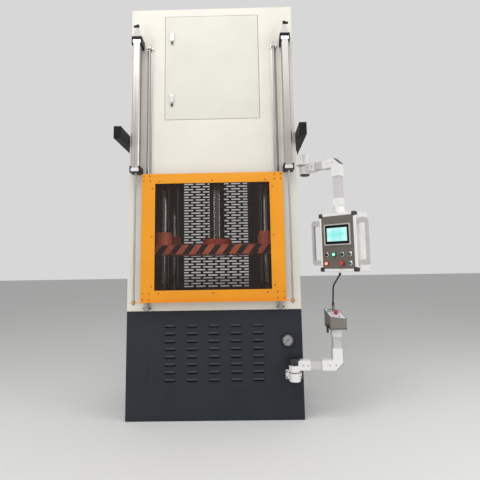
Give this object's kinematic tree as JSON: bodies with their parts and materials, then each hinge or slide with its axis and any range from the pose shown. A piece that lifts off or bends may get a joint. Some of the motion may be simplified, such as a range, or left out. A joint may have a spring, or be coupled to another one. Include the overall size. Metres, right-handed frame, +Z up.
{
  "type": "hydraulic press",
  "caption": "Four-column hydraulic press in a sheet-metal enclosure with an air-lifted guard door, a pendant operator panel and a two-hand console.",
  "frame": {"origin": "centre of the base's underside, on the floor", "axes": "+X to the operator's right, +Y from the front to the back, +Z up"},
  "size_m": [2.0164, 1.2322, 3.49],
  "materials": {
    "base_cabinet": "semi-matt charcoal powder coat",
    "louvre_panel": "semi-matt charcoal powder coat",
    "gauge_case": "polished",
    "gauge_glass": "clear",
    "gauge_needle": "matt black",
    "press_bed": "milled, lightly oiled",
    "column_front_left": "hard-chromed and ground",
    "column_front_right": "hard-chromed and ground",
    "column_rear_left": "hard-chromed and ground",
    "column_rear_right": "hard-chromed and ground",
    "top_crosshead": "semi-gloss machine paint",
    "main_cylinder": "semi-gloss machine paint",
    "upper_housing": "fine-textured ivory powder coat",
    "rear_guard": "fine-textured ivory powder coat",
    "equipment_tray": "satin white",
    "oil_tank": "semi-matt",
    "pump_motor": "semi-gloss",
    "guide_rail_left": "anodised, with a ground steel shaft",
    "guide_rail_right": "anodised, with a ground steel shaft",
    "air_barrel_left": "anodised extrusion",
    "air_barrel_right": "anodised extrusion",
    "air_bracket_low_left": "matt black",
    "air_bracket_low_right": "matt black",
    "air_bracket_top_left": "matt black",
    "air_bracket_top_right": "matt black",
    "side_bar_left": "semi-matt black",
    "side_bar_right": "semi-matt black",
    "upper_arm_mount": "light grey powder coat",
    "lower_arm_mount": "light grey powder coat",
    "door_frame": "semi-gloss orange",
    "door_pane": "clear polycarbonate sheet",
    "door_carriage_left": "machined",
    "door_carriage_right": "machined",
    "piston_rod_left": "hard-chromed",
    "piston_rod_right": "hard-chromed",
    "slide_platen": "machine paint over milled steel",
    "ram": "hard-chromed and ground",
    "cabinet_door": "fine-textured ivory powder coat",
    "latch_paddle_lower": "satin zinc",
    "latch_paddle_upper": "satin zinc",
    "latch_button_lower": "matt",
    "latch_button_upper": "matt",
    "upper_arm": "light grey powder coat on aluminium",
    "panel_case": "light grey powder coat on aluminium",
    "panel_face": "brown-grey anodised sheet",
    "touch_screen": "satin bezel with a lit display",
    "mode_selector": "gloss black",
    "start_button": "gloss green, lit",
    "motion_selector": "gloss black",
    "raise_button": "gloss green",
    "stop_button": "gloss red, lit",
    "panel_emergency_stop": "gloss red",
    "lower_button": "gloss green",
    "panel_cable": "black jacket",
    "cable_plug": "matt",
    "lower_arm": "light grey powder coat on aluminium",
    "console": "olive-grey powder coat on aluminium",
    "console_emergency_stop": "gloss red",
    "cycle_button_left": "gloss black",
    "cycle_button_right": "gloss black"
  },
  "bodies": {
    "frame": {"base_cabinet": "base_cabinet", "louvre_panel": "louvre_panel", "gauge_case": "gauge_case", "gauge_glass": "gauge_glass", "press_bed": "press_bed", "column_front_left": "column_front_left", "column_front_right": "column_front_right", "column_rear_left": "column_rear_left", "column_rear_right": "column_rear_right", "top_crosshead": "top_crosshead", "main_cylinder": "main_cylinder", "upper_housing": "upper_housing", "rear_guard": "rear_guard", "equipment_tray": "equipment_tray", "oil_tank": "oil_tank", "pump_motor": "pump_motor", "guide_rail_left": "guide_rail_left", "guide_rail_right": "guide_rail_right", "air_barrel_left": "air_barrel_left", "air_barrel_right": "air_barrel_right", "air_bracket_low_left": "air_bracket_low_left", "air_bracket_low_right": "air_bracket_low_right", "air_bracket_top_left": "air_bracket_top_left", "air_bracket_top_right": "air_bracket_top_right", "side_bar_left": "side_bar_left", "side_bar_right": "side_bar_right", "upper_arm_mount": "upper_arm_mount", "lower_arm_mount": "lower_arm_mount"},
    "guard_door": {"door_frame": "door_frame", "door_pane": "door_pane", "door_carriage_left": "door_carriage_left", "door_carriage_right": "door_carriage_right", "piston_rod_left": "piston_rod_left", "piston_rod_right": "piston_rod_right"},
    "press_slide": {"slide_platen": "slide_platen", "ram": "ram"},
    "cabinet_door": {"cabinet_door": "cabinet_door"},
    "latch_lower": {"latch_paddle_lower": "latch_paddle_lower"},
    "latch_upper": {"latch_paddle_upper": "latch_paddle_upper"},
    "latch_lower_button": {"latch_button_lower": "latch_button_lower"},
    "latch_upper_button": {"latch_button_upper": "latch_button_upper"},
    "needle": {"gauge_needle": "gauge_needle"},
    "upper_arm": {"upper_arm": "upper_arm"},
    "operator_panel": {"panel_case": "panel_case", "panel_face": "panel_face", "touch_screen": "touch_screen", "panel_cable": "panel_cable", "cable_plug": "cable_plug"},
    "lower_arm": {"lower_arm": "lower_arm"},
    "console": {"console": "console"},
    "mode_selector": {"mode_selector": "mode_selector"},
    "start_button": {"start_button": "start_button"},
    "motion_selector": {"motion_selector": "motion_selector"},
    "raise_button": {"raise_button": "raise_button"},
    "stop_button": {"stop_button": "stop_button"},
    "panel_emergency_stop": {"panel_emergency_stop": "panel_emergency_stop"},
    "lower_button": {"lower_button": "lower_button"},
    "console_emergency_stop": {"console_emergency_stop": "console_emergency_stop"},
    "cycle_button_left": {"cycle_button_left": "cycle_button_left"},
    "cycle_button_right": {"cycle_button_right": "cycle_button_right"}
  },
  "joints": [
    {"name": "guard_door_lift", "type": "slide", "parent": "frame", "child": "guard_door", "axis": [0, 0, 1], "range_m": [0, 1]},
    {"name": "ram_stroke", "type": "slide", "parent": "frame", "child": "press_slide", "axis": [0, 0, 1], "range_m": [-0.25, 0.35]},
    {"name": "cabinet_door_hinge", "type": "hinge", "parent": "frame", "child": "cabinet_door", "pos_m": [0.403, -0.456, 2.9415], "axis": [0, 0, -1], "range_deg": [-110, 0]},
    {"name": "latch_lower_pivot", "type": "hinge", "parent": "cabinet_door", "child": "latch_lower", "pos_m": [-0.348, -0.4723, 2.681], "axis": [1, 0, 0], "range_deg": [-45, 0]},
    {"name": "latch_upper_pivot", "type": "hinge", "parent": "cabinet_door", "child": "latch_upper", "pos_m": [-0.348, -0.4723, 3.252], "axis": [1, 0, 0], "range_deg": [-45, 0]},
    {"name": "latch_lower_push", "type": "slide", "parent": "cabinet_door", "child": "latch_lower_button", "axis": [0, 1, 0], "range_m": [0, 0.004], "stiffness_N_per_m": 400, "springref_m": -0.003},
    {"name": "latch_upper_push", "type": "slide", "parent": "cabinet_door", "child": "latch_upper_button", "axis": [0, 1, 0], "range_m": [0, 0.004], "stiffness_N_per_m": 400, "springref_m": -0.003},
    {"name": "gauge_pointer", "type": "hinge", "parent": "frame", "child": "needle", "pos_m": [0.592, -0.4603, 0.609], "axis": [0, 1, 0], "range_deg": [0, 270]},
    {"name": "upper_arm_swing", "type": "hinge", "parent": "frame", "child": "upper_arm", "pos_m": [0.79, -0.38, 2.06], "axis": [0, 0, 1], "range_deg": [-30, 60]},
    {"name": "panel_swivel", "type": "hinge", "parent": "upper_arm", "child": "operator_panel", "pos_m": [1.02434, -0.58371, 1.665], "axis": [0, 0, 1], "range_deg": [-60, 60]},
    {"name": "lower_arm_swing", "type": "hinge", "parent": "frame", "child": "lower_arm", "pos_m": [0.632, -0.54, 0.382], "axis": [0, 0, 1], "range_deg": [-90, 0]},
    {"name": "console_swivel", "type": "hinge", "parent": "lower_arm", "child": "console", "pos_m": [0.963, -0.54, 0.714], "axis": [0, 0, 1], "range_deg": [-45, 45]},
    {"name": "mode_selector_turn", "type": "hinge", "parent": "operator_panel", "child": "mode_selector", "pos_m": [0.91436, -0.55475, 1.282], "axis": [-0.6561, -0.7547, 0], "range_deg": [-45, 45]},
    {"name": "start_button_push", "type": "slide", "parent": "operator_panel", "child": "start_button", "axis": [0.6561, 0.7547, 0], "range_m": [0, 0.004], "stiffness_N_per_m": 400, "springref_m": -0.003},
    {"name": "motion_selector_turn", "type": "hinge", "parent": "operator_panel", "child": "motion_selector", "pos_m": [1.017, -0.64397, 1.282], "axis": [-0.6561, -0.7547, 0], "range_deg": [-45, 45]},
    {"name": "raise_button_push", "type": "slide", "parent": "operator_panel", "child": "raise_button", "axis": [0.6561, 0.7547, 0], "range_m": [0, 0.004], "stiffness_N_per_m": 400, "springref_m": -0.003},
    {"name": "stop_button_push", "type": "slide", "parent": "operator_panel", "child": "stop_button", "axis": [0.6561, 0.7547, 0], "range_m": [0, 0.004], "stiffness_N_per_m": 400, "springref_m": -0.003},
    {"name": "panel_emergency_stop_push", "type": "slide", "parent": "operator_panel", "child": "panel_emergency_stop", "axis": [0.6561, 0.7547, 0], "range_m": [0, 0.004], "stiffness_N_per_m": 400, "springref_m": -0.003},
    {"name": "lower_button_push", "type": "slide", "parent": "operator_panel", "child": "lower_button", "axis": [0.6561, 0.7547, 0], "range_m": [0, 0.004], "stiffness_N_per_m": 400, "springref_m": -0.003},
    {"name": "console_emergency_stop_push", "type": "slide", "parent": "console", "child": "console_emergency_stop", "axis": [-0.1369, 0.1565, -0.9781], "range_m": [0, 0.004], "stiffness_N_per_m": 400, "springref_m": -0.003},
    {"name": "cycle_button_left_push", "type": "slide", "parent": "console", "child": "cycle_button_left", "axis": [-0.1369, 0.1565, -0.9781], "range_m": [0, 0.004], "stiffness_N_per_m": 400, "springref_m": -0.003},
    {"name": "cycle_button_right_push", "type": "slide", "parent": "console", "child": "cycle_button_right", "axis": [-0.1369, 0.1565, -0.9781], "range_m": [0, 0.004], "stiffness_N_per_m": 400, "springref_m": -0.003}
  ]
}
